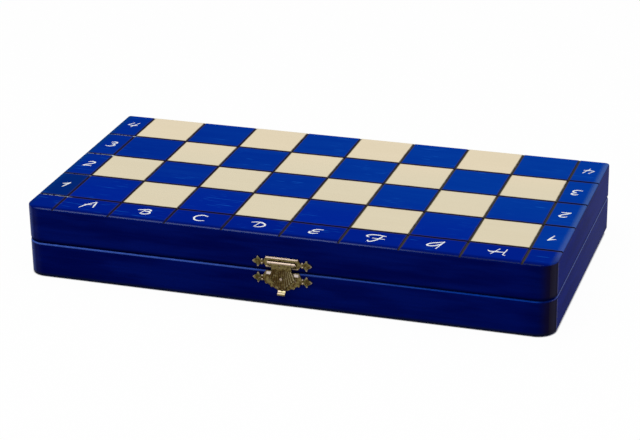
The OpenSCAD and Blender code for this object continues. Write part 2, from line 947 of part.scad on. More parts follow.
module king() {
    d = officer_d;
    cup_h = 0.18 * king_h;
    cross_h = 4.6;
    cross_w = 3.8;
    bar = 1.3;
    neck_h = king_h - cup_h - cross_h - 1;
    turned(d, king_h) {
        foot_profile(d, 0.18 * d, neck_h + 0.5);
        collar_profile(0.35 * d, neck_h - 1, 1.6);
        collar_profile(0.28 * d, neck_h + 0.5, 1.2);
        crown_profile(0.18 * d, 0.33 * d, neck_h, cup_h);
        translate([0, neck_h + 0.72 * cup_h])
            circle(0.43 * cup_h);
    }
    translate([-bar / 2, -bar / 2, king_h - cross_h - 0.6])
        cube([bar, bar, cross_h + 0.6]);
    translate([-cross_w / 2, -bar / 2, king_h - cross_h / 2 - bar / 2])
        cube([cross_w, bar, bar]);
}

// Horse's head and neck, facing +X: shares of the base width across and of the head's height up
knight_outline = [
    [0.24, 0], [0.31, 0.16], [0.13, 0.40], [0.19, 0.46], [0.33, 0.41], [0.40, 0.47], [0.40, 0.56],
    [0.27, 0.76], [0.18, 0.88], [0.15, 1], [0.05, 0.93], [-0.10, 0.89], [-0.25, 0.72],
    [-0.34, 0.45], [-0.35, 0.18], [-0.29, 0]
];

// Notches between the locks of the mane, in the same shares
knight_mane = [[-0.37, 0.3], [-0.36, 0.44], [-0.33, 0.57], [-0.27, 0.7], [-0.19, 0.82]];

module knight() {
    d = officer_d;
    foot = 5.4;
    head_h = knight_h - foot;
    turned(d, knight_h) {
        foot_profile(d, 0.3 * d, foot);
        collar_profile(0.36 * d, foot - 0.5, 1.4);
    }
    difference() {
        intersection() {
            translate([0, 0.3 * d, foot - 0.5])
                rotate([90, 0, 0])
                    linear_extrude(0.6 * d)
                        polygon([for (p = knight_outline) [p[0] * d, p[1] * (head_h + 0.5)]]);
            translate([-d / 2, 0, foot - 1])
                rotate([90, 0, 90])
                    linear_extrude(d)
                        polygon([[-0.29 * d, 0], [0.29 * d, 0], [0.27 * d, 0.3 * head_h],
                                 [0.17 * d, 0.72 * head_h], [0.13 * d, head_h + 1],
                                 [-0.13 * d, head_h + 1], [-0.17 * d, 0.72 * head_h],
                                 [-0.27 * d, 0.3 * head_h]]);
        }
        for (side = [-1, 1])
            translate([0.17 * d, side * 0.17 * d, foot + 0.68 * head_h])
                rotate([90, 0, 0])
                    cylinder(r = 0.5, h = 0.8, center = true);
        for (p = knight_mane)
            translate([p[0] * d, 0, foot + p[1] * head_h])
                rotate([90, 0, 0])
                    cylinder(r = 0.5, h = d, center = true);
        translate([0, 0, knight_h])
            rotate([0, 90, 0])
                cylinder(r = 1.1, h = d, center = true);
    }
}

module officer_shape(i) {
    name = officers[i];
    if (name == "rook_1" || name == "rook_2") rook();
    if (name == "knight_1" || name == "knight_2") knight();
    if (name == "bishop_1" || name == "bishop_2") bishop();
    if (name == "queen") queen();
    if (name == "king") king();
}

// Lays a standing piece in the front row, its head at the trough's edge
module lay_officer(i) {
    translate([file_x(i), trough_front_y - piece_clear - officer_heights[i], piece_z])
        rotate([-90, 0, 0])
            children();
}

module lay_pawn(i) {
    translate([file_x(i), trough_rear_y + piece_clear + pawn_h, piece_z])
        rotate([90, 0, 0])
            children();
}

module in_half(army) {
    if (army == "light") children();
    else upper_half() children();
}

function army_wood(army) = army == "light" ? maple : blue;

module officer(army, i) {
    color(army_wood(army))
        in_half(army)
            lay_officer(i)
                officer_shape(i);
}

module pawn_in_tray(army, i) {
    color(army_wood(army))
        in_half(army)
            lay_pawn(i)
                pawn();
}

module magnets(army) {
    color(steel)
        in_half(army)
            for (i = [0:files - 1]) {
                lay_officer(i)
                    cylinder(r = magnet_d / 2, h = magnet_t);
                lay_pawn(i)
                    cylinder(r = magnet_d / 2, h = magnet_t);
            }
}

module half_brads(plate_z) {
    color(brass) {
        for (side = [-1, 1])
            at_hinge(side)
                translate([0, 0, -seam_gap / 2])
                    hinge_brads()
                        brad();
        at_clasp()
            clasp_brads(plate_z)
                brad();
    }
}

front_wall(-catch_brad_drop);  // lower_front_wall
rear_wall();  // lower_rear_wall
side_wall("left");  // lower_left_wall
side_wall("right");  // lower_right_wall
board(0);  // lower_board
steel_sheet();  // lower_steel_sheet
tray();  // lower_tray
upper_half() front_wall(-clasp_brad_z);  // upper_front_wall
upper_half() rear_wall();  // upper_rear_wall
upper_half() side_wall("left");  // upper_left_wall
upper_half() side_wall("right");  // upper_right_wall
upper_half() board(1);  // upper_board
upper_half() steel_sheet();  // upper_steel_sheet
upper_half() tray();  // upper_tray
for (i = [0, 1]) {
    side = 2 * i - 1;
    name = str(hinge_sides[i], "_hinge_");
    at_hinge(side) hinge_leaf(0, seat_clear);
    at_hinge(side) mirror([0, 0, 1]) hinge_leaf(1, run_clear);
    at_hinge(side) hinge_pin();
}
at_clasp() clasp_plate();
hasp_pin();
at_clasp() hasp();
at_clasp() catch_plate();
half_brads(-catch_brad_drop);  // lower_brads
upper_half() half_brads(-clasp_brad_z);  // upper_brads
magnets("light");  // light_magnets
magnets("dark");  // dark_magnets
for (army = ["light", "dark"], i = [0:files - 1]) {
    officer(army, i);
    pawn_in_tray(army, i);
}
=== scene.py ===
"""Finishes, lettering and stage for a magnetic travel chess set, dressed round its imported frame."""

import math

import bmesh
import bpy
from bpy.props import FloatProperty, FloatVectorProperty, PointerProperty
from mathutils import Matrix, Vector


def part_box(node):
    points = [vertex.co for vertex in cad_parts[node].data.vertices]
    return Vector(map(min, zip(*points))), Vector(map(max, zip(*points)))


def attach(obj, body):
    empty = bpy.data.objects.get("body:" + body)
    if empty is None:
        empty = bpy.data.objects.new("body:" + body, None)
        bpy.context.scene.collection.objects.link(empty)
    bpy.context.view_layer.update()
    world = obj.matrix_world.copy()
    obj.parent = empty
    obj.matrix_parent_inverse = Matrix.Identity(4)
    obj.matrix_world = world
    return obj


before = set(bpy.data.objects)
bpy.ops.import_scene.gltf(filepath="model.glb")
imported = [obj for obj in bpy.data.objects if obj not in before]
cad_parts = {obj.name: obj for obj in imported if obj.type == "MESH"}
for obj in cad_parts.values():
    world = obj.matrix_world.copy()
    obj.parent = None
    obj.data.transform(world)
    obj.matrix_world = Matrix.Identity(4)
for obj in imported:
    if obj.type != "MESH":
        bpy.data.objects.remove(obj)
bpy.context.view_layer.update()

bl_info = {
    "name": "Magnetic Travel Chess Set",
    "version": (1, 0, 0),
    "blender": (4, 5, 0),
    "location": "3D View > Sidebar > Chess Set",
    "description": "Stain, burnt lines, lettering, brass and chessmen of a folding chess case",
    "category": "Object",
}

MM = 0.001
FILES = "ABCDEFGH"


# Places that the frame gives

CASE_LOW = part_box("lower_board")[0]
CASE_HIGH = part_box("upper_board")[1]
FRONT_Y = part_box("upper_front_wall")[0].y
REAR_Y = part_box("upper_board")[1].y
SEAM_Z = (CASE_LOW.z + CASE_HIGH.z) / 2
HALF_WIDTH = CASE_HIGH.x


# Fixed sizes and places

# Radius of the front corners, in mm
CORNER = 9.4
# Along X, in mm: where the left half's look passes into the right half's
TO_RIGHT = (-40.0, 40.0)
# Along X, in mm: where the front roundings turn dull
DULLING = (30.0, 90.0)
# Half the floor's side, and how far the floor lies below the case, in metres
FLOOR_REACH = 6.0
FLOOR_DROP = 0.15 * MM
# Width and height of the lamps' panels, in metres
SOFTBOX_SIZE = (1.2, 1.2)
SIDE_LAMP_SIZE = (0.7, 0.9)


# Sizes and colours that a user would change

def colour(name, description, default):
    """A colour setting."""
    return FloatVectorProperty(name=name, description=description, default=default,
                               subtype="COLOR", min=0, max=1)


def length(name, description, default):
    """A length setting in metres."""
    return FloatProperty(name=name, description=description, default=default, unit="LENGTH",
                         precision=5, min=0)


def share(name, description, default, high=1.0):
    """A plain factor."""
    return FloatProperty(name=name, description=description, default=default, min=0, max=high)


def place(name, description, default):
    """A point in the frame."""
    return FloatVectorProperty(name=name, description=description, default=default,
                               subtype="TRANSLATION")


class BoardSettings(bpy.types.PropertyGroup):
    """The squares and the burnt lines between them."""

    square: length("Square", "Pitch of the squares, line to line", 0.03)
    file_line: length("File line", "Width of the burnt lines between the files", 0.0009)
    rank_line: length("Rank line", "Width of the burnt lines between the ranks", 0.0013)
    scorch: length("Scorch", "Reach of the scorched wood beside a line", 0.0008)
    blue: colour("Blue", "Stained squares and borders", (0.0004, 0.0185, 0.2450))
    blue_faded: colour("Faded blue", "Stain towards the rear right corner", (0.0006, 0.0350, 0.3000))
    blue_near: colour("Near blue", "Stained squares nearest the clasp", (0.0004, 0.0145, 0.2700))
    blue_border: colour("Border blue", "Border that holds the files' letters", (0.0004, 0.0115, 0.2150))
    blue_edge: colour("Edge blue", "Stain that gathered along the front edge", (0.0004, 0.0055, 0.1180))
    corner_blue: colour("Corner blue", "Border cell at the front left corner", (0.0006, 0.0170, 0.1200))
    left_edge: colour("Left edge", "Stain that dried darker along the left edge", (0.0006, 0.0370, 0.1650))
    right_edge: colour("Right edge", "Stain that dried greener along the right edge",
                       (0.0008, 0.0580, 0.2600))
    worn_edge: colour("Worn edge", "Rubbed stain of the front rounding", (0.0040, 0.0230, 0.1500))
    dull_edge: colour("Dull edge", "Front rounding towards the right corner", (0.0010, 0.0085, 0.0800))
    blue_streak: colour("Blue streaks", "Fibres that took less stain", (0.012, 0.130, 0.560))
    cream: colour("Cream", "Bare light squares under varnish", (0.725, 0.628, 0.455))
    cream_fibre: colour("Cream fibres", "Darker fibres of the light squares", (0.620, 0.520, 0.350))
    # Near cream: painted shade that darkens the light squares towards the front
    cream_near: colour("Near cream", "What the light squares lose towards the clasp", (0.940, 0.968, 0.978))
    burnt: colour("Burnt", "Charred bottom of the lines", (0.016, 0.012, 0.009))
    ash: colour("Ash", "Lines between the files, where the char is paler", (0.045, 0.043, 0.030))
    scorched: colour("Scorched", "Brown edges of the lines", (0.060, 0.040, 0.020))
    # Glint: painted highlight dashes in the left border's rank lines
    glint: colour("Glint", "Chipped varnish in the lines of the left border", (0.72, 0.84, 0.90))


class CaseSettings(bpy.types.PropertyGroup):
    """The stained walls."""

    # Stain is darker than the board's blue: partly the walls' own stain, partly painted shade of the front
    # walls
    stain: colour("Stain", "Walls and panel edges", (0.0003, 0.0021, 0.0670))
    thin: colour("Thin stain", "Fibres that took less stain", (0.0015, 0.0130, 0.2100))
    # Rims: rubbed stain, with a painted highlight on the lower rim's upward-facing rounding and on the front
    # left corner
    rim: colour("Rims", "Rubbed roundings along the seam", (0.048, 0.115, 0.500))
    # Right rim: the same rubbed stain and painted highlight towards the right corner
    right_rim: colour("Right rim", "Rounding of the seam towards the right corner", (0.005, 0.068, 0.500))
    # Upright corners darker: end grain that soaked more stain, and painted shade where the corner turns away
    # from the light
    end_grain: colour("End grain", "Rounded corners, where the end grain soaked up more stain",
                      (0.0062, 0.0042, 0.0150))
    # Painted shadow over the seam; the same dark blue also darkens the front's right end
    pooled: colour("Pooled stain", "Stain that ran together beside the seam and at the right",
                   (0.0, 0.0008, 0.010))
    # Foot: painted contact shadow along the bottom of the front walls
    foot: colour("Foot", "Scuffed edge that the case stands on", (0.0070, 0.0085, 0.0120))
    gloss: share("Gloss", "Varnish left on the front roundings", 0.45)
    side_gloss: share("Side gloss", "Varnish left on the side roundings", 0.42)


class LetterSettings(bpy.types.PropertyGroup):
    """The painted coordinates."""

    stroke: length("Stroke", "Width of a brush stroke", 0.00095)
    body: share("Body", "Width of a stroke between its ends, as a share of Stroke", 1.1, 2.0)
    tip: share("Tip", "Width of a stroke at its ends, as a share of Stroke", 0.62)
    proud: length("Proud", "Thickness of the paint on the board", 0.00004)
    paint: colour("Paint", "Brushed lettering", (0.80, 0.82, 0.80))


class BrassSettings(bpy.types.PropertyGroup):
    """Clasp, hinges and brads."""

    # Polished: rubbed brass, and the painted highlight on upward faces
    polished: colour("Polished", "Rubbed edges and upper faces", (0.335, 0.265, 0.212))
    # Fresh: brass kept yellow by fingers, also the colour of the tab's and crests' painted highlights
    fresh: colour("Fresh", "Tab, where fingers keep the brass yellow", (0.380, 0.345, 0.170))
    # Lip: painted reflection on the catch plate's upper slope
    lip: colour("Lip", "Upper edge of the catch plate, which the hasp rubs white", (0.60, 0.52, 0.49))
    aged: colour("Aged", "Faces that dulled", (0.165, 0.132, 0.050))
    patina: colour("Patina", "Dark film in the hollows", (0.060, 0.036, 0.011))
    verdigris: colour("Verdigris", "Green film on the pointed ends", (0.060, 0.085, 0.026))
    # Wear also scales the painted highlights
    wear: share("Wear", "How far the high spots are rubbed bright", 0.9)
    point_reach: length("Point", "Reach of a pointed end beyond its brad", 0.0028)
    brad_rise: length("Brad rise", "Height of the brads above the foot of the hasp's pin, and above the "
                      "middle of the catch plate", 0.0007)


class InsideSettings(bpy.types.PropertyGroup):
    """Trays, steel, magnets and chessmen."""

    flock: colour("Flock", "Trays", (0.018, 0.024, 0.060))
    maple: colour("Maple", "Light chessmen", (0.720, 0.520, 0.300))
    stained: colour("Stained", "Dark chessmen", (0.004, 0.040, 0.260))
    steel: colour("Steel", "Sheets behind the boards", (0.46, 0.47, 0.49))
    nickel: colour("Nickel", "Magnets in the bases", (0.70, 0.69, 0.67))


class StageSettings(bpy.types.PropertyGroup):
    """Floor, lamps, world and camera."""

    eye: place("Eye", "Where the camera stands", (0.30807, -0.94677, 0.43804))
    aim: place("Aim", "The point that the camera looks at", (-0.00151, 0.0, 0.01699))
    roll: FloatProperty(name="Roll", description="Turn of the camera about its own line of sight",
                        default=math.radians(0.895), subtype="ANGLE")
    lens: FloatProperty(name="Lens", description="Focal length on a 36 mm sensor", default=117.672,
                        unit="CAMERA", min=20, max=300)
    ground: colour("Floor", "Floor that the case stands on", (0.80, 0.80, 0.80))
    sky: share("Sky", "Light of the room on the object", 0.42, 3.0)
    softbox: share("Softbox", "Brightness of the lamp overhead", 2.6, 20.0)
    softbox_spot: place("Softbox place", "Where the lamp overhead hangs", (-0.10, -0.25, 1.20))
    side_lamp: share("Side lamp", "Brightness of the lamp at the right", 1.3, 20.0)
    side_lamp_spot: place("Side lamp place", "Where the lamp at the right stands", (1.20, -0.10, 0.45))


# Shader building

class Field:
    """A node's output, such as a number that varies over a surface. Arithmetic adds math nodes."""

    def __init__(self, graph, socket):
        self.graph = graph
        self.socket = socket

    def __add__(self, other):
        return self.graph.math("ADD", self, other)

    def __sub__(self, other):
        return self.graph.math("SUBTRACT", self, other)

    def __rsub__(self, other):
        return self.graph.math("SUBTRACT", other, self)

    def __mul__(self, other):
        return self.graph.math("MULTIPLY", self, other)

    def __truediv__(self, other):
        return self.graph.math("DIVIDE", self, other)

    def __rtruediv__(self, other):
        return self.graph.math("DIVIDE", other, self)

    def __gt__(self, other):
        return self.graph.math("GREATER_THAN", self, other)

    def __lt__(self, other):
        return self.graph.math("LESS_THAN", self, other)

    def __abs__(self):
        return self.graph.math("ABSOLUTE", self)

    def ramp(self, low, high, to_low=0.0, to_high=1.0):
        """Smooth step from to_low, at low, to to_high, at high."""
        made = self.graph.node("MapRange", {"Value": self, "From Min": low, "From Max": high,
                                            "To Min": to_low, "To Max": to_high},
                               interpolation_type="SMOOTHSTEP")
        return Field(self.graph, made.outputs["Result"])

    def fall(self, low, high, top=1.0):
        """Smooth step from top, at low, to 0, at high."""
        return self.ramp(low, high, top, 0.0)

    def band(self, start, full, fading, gone):
        """1 from full to fading, 0 before start and after gone."""
        return self.ramp(start, full) * self.fall(fading, gone)


class Graph:
    """Adds nodes to one shader tree. An input takes a value, a field or another node's output."""

    def __init__(self, tree):
        self.tree = tree

    def feed(self, socket, value):
        if isinstance(value, Field):
            value = value.socket
        if isinstance(value, bpy.types.NodeSocket):
            self.tree.links.new(value, socket)
        elif socket.type == "RGBA" and len(value) == 3:
            socket.default_value = (*value, 1)
        else:
            socket.default_value = value

    def feed_all(self, node, inputs):
        for name, value in inputs.items():
            self.feed(node.inputs[name], value)

    def node(self, kind, inputs=None, **choices):
        made = self.tree.nodes.new("ShaderNode" + kind)
        for name, value in choices.items():
            setattr(made, name, value)
        self.feed_all(made, inputs or {})
        return made

    def fields(self, node):
        """The node's outputs by name."""
        return {socket.name: Field(self, socket) for socket in node.outputs}

    def math(self, operation, *values):
        made = self.node("Math", dict(enumerate(values)), operation=operation)
        return Field(self, made.outputs[0])

    def larger(self, a, b):
        return self.math("MAXIMUM", a, b)

    def smaller(self, a, b):
        return self.math("MINIMUM", a, b)

    def vector(self, operation, *values):
        made = self.node("VectorMath", dict(enumerate(values)), operation=operation)
        return Field(self, made.outputs["Value" if operation == "LENGTH" else "Vector"])

    def scaled(self, vector, factor):
        made = self.node("VectorMath", {"Vector": vector, "Scale": factor}, operation="SCALE")
        return Field(self, made.outputs["Vector"])

    def mix(self, factor, a, b, blend="MIX"):
        """Colour a where factor is 0, b where it is 1."""
        made = self.node("Mix", {0: factor, 6: a, 7: b}, data_type="RGBA", blend_type=blend)
        return Field(self, made.outputs[2])

    def blend(self, factor, a, b):
        """Number a where factor is 0, b where it is 1."""
        return Field(self, self.node("Mix", {0: factor, 2: a, 3: b}, data_type="FLOAT").outputs[0])

    def noise(self, vector, scale=1.0, detail=3.0, roughness=0.55, distortion=0.0):
        made = self.node("TexNoise", {"Vector": vector, "Scale": scale, "Detail": detail,
                                      "Roughness": roughness, "Distortion": distortion})
        return Field(self, made.outputs["Fac"])

    def split(self, vector):
        made = self.node("SeparateXYZ", {"Vector": vector})
        return [Field(self, socket) for socket in made.outputs]

    def join(self, x, y, z):
        return Field(self, self.node("CombineXYZ", {"X": x, "Y": y, "Z": z}).outputs["Vector"])

    def group(self, tree, **inputs):
        """A node of that group. In a keyword, an underscore stands for a space."""
        made = self.tree.nodes.new("ShaderNodeGroup")
        made.node_tree = tree
        self.feed_all(made, {name.replace("_", " ").capitalize(): value for name, value in inputs.items()})
        return self.fields(made)


def new_group(name, inputs, outputs):
    """A node group with sockets of those kinds; gives its graph, its inputs and its output node."""
    tree = bpy.data.node_groups.new(name, "ShaderNodeTree")
    for way, sockets in (("INPUT", inputs), ("OUTPUT", outputs)):
        for kind, labels in sockets.items():
            for label in labels:
                tree.interface.new_socket(label, in_out=way, socket_type="NodeSocket" + kind)
    graph = Graph(tree)
    return graph, graph.fields(tree.nodes.new("NodeGroupInput")), tree.nodes.new("NodeGroupOutput")


def shared(build):
    """Builds a node group once, on first use, and hands out the same one after that."""
    def fetch():
        tree = bpy.data.node_groups.get(build.__name__)
        return tree or build()
    return fetch


@shared
def wood_grain():
    """Fibres along X with broad figure: Tone is 0.5 on average."""
    graph, entry, end = new_group(
        "wood_grain", {"Vector": ["Position"], "Float": ["Fibre length", "Fibre width", "Figure"]},
        {"Float": ["Tone", "Height", "Streak"]})
    position = entry["Position"]
    along = 1.0 / entry["Fibre length"]
    across = 1.0 / entry["Fibre width"]

    def in_fibres(spot, by_length, by_width):
        sideways = across * by_width
        return graph.vector("MULTIPLY", spot, graph.join(along * by_length, sideways, sideways))

    fibres = graph.noise(in_fibres(position, 1.0, 1.0), detail=4.0, roughness=0.62)
    broad = graph.noise(in_fibres(position, 0.45, 0.09), detail=2.0, roughness=0.5, distortion=0.7)
    elsewhere = graph.vector("ADD", position, (31.0, 17.0, 5.0))
    streaks = graph.noise(in_fibres(elsewhere, 1.3, 0.55), detail=1.0, roughness=0.5)
    patches = graph.noise(position, 0.045, 2.0)
    graph.feed_all(end, {"Tone": graph.blend(entry["Figure"], fibres, broad), "Height": fibres,
                         "Streak": streaks.ramp(0.62, 0.74) * patches.ramp(0.45, 0.62)})
    return graph.tree


@shared
def roundings():
    """Masks of the roundings: the edges' first turn, the upright corners, and which way a spot faces."""
    graph, entry, end = new_group(
        "roundings", {"Vector": ["Normal"]},
        {"Float": ["Front edge", "Side edge", "Corner", "Corner end", "Corner last", "Turn", "Graze",
                   "Up", "Side"]})
    x, y, z = (abs(part) for part in graph.split(entry["Normal"]))
    upright = z.fall(0.1, 0.5)
    graph.feed_all(end, {
        "Front edge": y.fall(0.45, 0.78),
        "Side edge": x.fall(0.45, 1.0),
        "Corner": upright * x.band(0.12, 0.78, 0.975, 0.998),
        "Corner end": upright * x.band(0.68, 0.84, 0.90, 0.975),
        "Corner last": upright * x.band(0.975, 0.994, 0.996, 0.999),
        "Turn": upright * x.ramp(0.02, 0.35),
        "Graze": upright * x.ramp(0.44, 0.68),
        "Up": z.ramp(0.45, 0.85),
        "Side": (x - y).ramp(0.0, 0.5)})
    return graph.tree


@shared
def case_stain():
    """Blue stain on the walls: fibres run along each wall, the corners are darker (end grain and painted
    shade), the side walls are painted lighter, the lower rim is rubbed and painted lighter, and a painted
    shadow lies over the seam.

    Limits along x, y and z are in mm.
    """
    graph, entry, end = new_group(
        "case_stain",
        {"Vector": ["Position", "Normal"], "Float": ["Gloss", "Side gloss"],
         "Color": ["Stain", "Thin", "Rim", "Right rim", "End grain", "Pooled", "Foot"]},
        {"Color": ["Color"], "Float": ["Coat", "Roughness", "Height"]})
    position = entry["Position"]
    masks = graph.group(roundings(), normal=entry["Normal"])
    x, y, z = graph.split(position)
    _, _, facing_up = graph.split(entry["Normal"])
    side = masks["Side"]
    front = 1.0 - side
    left = x.fall(*TO_RIGHT)

    # Stain: cloudy and streaked, the side walls painted lighter (painted light from the side), darker
    # towards the front's right end, the upright corners darker (end grain and painted shade), a painted
    # highlight at the front left corner, and a painted shadow along the front's foot
    sideways = side > 0.5
    along = graph.join(graph.blend(sideways, x, y), graph.blend(sideways, y, x), z)
    grain = graph.group(wood_grain(), position=along, fibre_length=38.0, fibre_width=1.0, figure=0.5)
    cloud = graph.noise(graph.vector("MULTIPLY", position, (0.025, 0.025, 0.16)), detail=2.0)
    tone = grain["Tone"].ramp(0.38, 0.66) * 0.12 + cloud.ramp(0.35, 0.65, 0.0, 0.20)
    # Side walls take 30 % more of the thin stain: painted light, as if lit from the side
    base = graph.mix(side * 0.30 + tone, entry["Stain"], entry["Thin"])
    # Darker towards the front's right end
    base = graph.mix(x.ramp(118.0, 132.0, 0.0, 0.3) * front, base, entry["Pooled"])
    # Upright corners, darker to the right: end grain and painted shade
    base = graph.mix(masks["Corner"] * x.ramp(*TO_RIGHT, 0.12, 0.95), base, entry["End grain"])
    # Painted highlight on the front left corner's rounding, in the rim colour
    base = graph.mix(masks["Graze"] * left * 0.22, base, entry["Rim"])
    # Painted contact shadow along the bottom of the front
    base = graph.mix(z.fall(0.3, 2.4, 0.85) * front, base, entry["Foot"])

    # Seam: a painted shadow line over it, and the lower half's rim, rubbed and painted lighter where it
    # faces up as if lit from above, which stops at the front right corner
    above = z - SEAM_Z / MM
    shade = above.band(-0.1, 0.1, 0.5, 2.2)
    # Painted shadow just over the seam, under the upper half's rim
    base = graph.mix(shade * 0.65, base, entry["Pooled"])
    reach = graph.blend(side, above.ramp(-1.5, -1.0), above.ramp(-0.9, -0.6))
    tipped = facing_up + x.fall(-20.0, 60.0, 0.22)
    facing_light = graph.blend(side, tipped.band(0.22, 0.5, 0.93, 1.0), facing_up.band(0.2, 0.45, 0.74, 0.90))
    rim = reach * above.fall(-0.1, 0.1) * facing_light
    rub = graph.noise(position, 0.35).ramp(0.3, 0.7, 0.75, 1.0)
    corner_x = HALF_WIDTH / MM - CORNER
    corner_y = FRONT_Y / MM + CORNER
    at_corner = x.ramp(corner_x, corner_x + 4.0) * y.fall(corner_y - 4.0, corner_y)
    # Lower rim painted lighter only where it faces up (painted highlight), rubbed in patches
    bare = rim * rub * x.ramp(-130.0, 130.0, 1.0, 0.6) * (1.0 - at_corner * 0.85)
    base = graph.mix(bare, base, graph.mix(x.ramp(0.0, 100.0), entry["Rim"], entry["Right rim"]))

    # Varnish: on the roundings, less of it along the seam
    away = abs(above).ramp(1.3, 1.8)
    right = x.ramp(*TO_RIGHT, 0.1, 1.0)
    front_coat = masks["Front edge"] * away * (entry["Gloss"] * x.ramp(*DULLING, 1.0, 0.25))
    side_coat = graph.blend(masks["Side edge"] * away, y.ramp(-60.0, 60.0, 0.040, 0.075),
                            entry["Side gloss"] * right)
    coat = graph.blend(side, front_coat, side_coat)
    coat = graph.blend(rim, coat, graph.blend(side, x.ramp(0.0, 80.0, 0.1, 0.02), 0.5))
    coat = graph.blend(masks["Corner end"], coat, right * 0.13)
    verge = masks["Corner last"] * right * 0.14
    far_corner = (masks["Graze"] * 0.09 + masks["Turn"] * 0.065) * left
    graph.feed_all(end, {"Color": base, "Coat": (coat + (verge + far_corner)) * graph.blend(shade, 1.0, 0.3),
                         "Roughness": grain["Tone"].ramp(0.3, 0.7, 0.42, 0.55),
                         "Height": grain["Height"]})
    return graph.tree


def new_finish(name, inputs):
    """A material with those shader inputs: it, its graph, its shader, object space in mm, its normal."""
    material = bpy.data.materials.new(name)
    material.use_nodes = True
    graph = Graph(material.node_tree)
    shader = material.node_tree.nodes["Principled BSDF"]
    graph.feed_all(shader, inputs)
    spots = graph.fields(graph.node("TexCoord"))
    return material, graph, shader, graph.scaled(spots["Object"], 1 / MM), spots["Normal"]


def bump(graph, shader, height, distance, strength=1.0):
    """Feeds a height in units of distance to the shader's normal."""
    made = graph.node("Bump", {"Height": height, "Strength": strength, "Distance": distance})
    graph.feed(shader.inputs["Normal"], made.outputs["Normal"])


def wear_finish(material, *nodes):
    """Gives CAD nodes their finish."""
    for name in nodes:
        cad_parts[name].material_slots[0].material = material


def stained_case(graph, case, position, normal):
    """The case's stain with the settings' colours and gloss."""
    values = {name: getattr(case, name) for name in CaseSettings.__annotations__}
    return graph.group(case_stain(), position=position, normal=normal, **values)


# The board: stained and bare squares between burnt lines

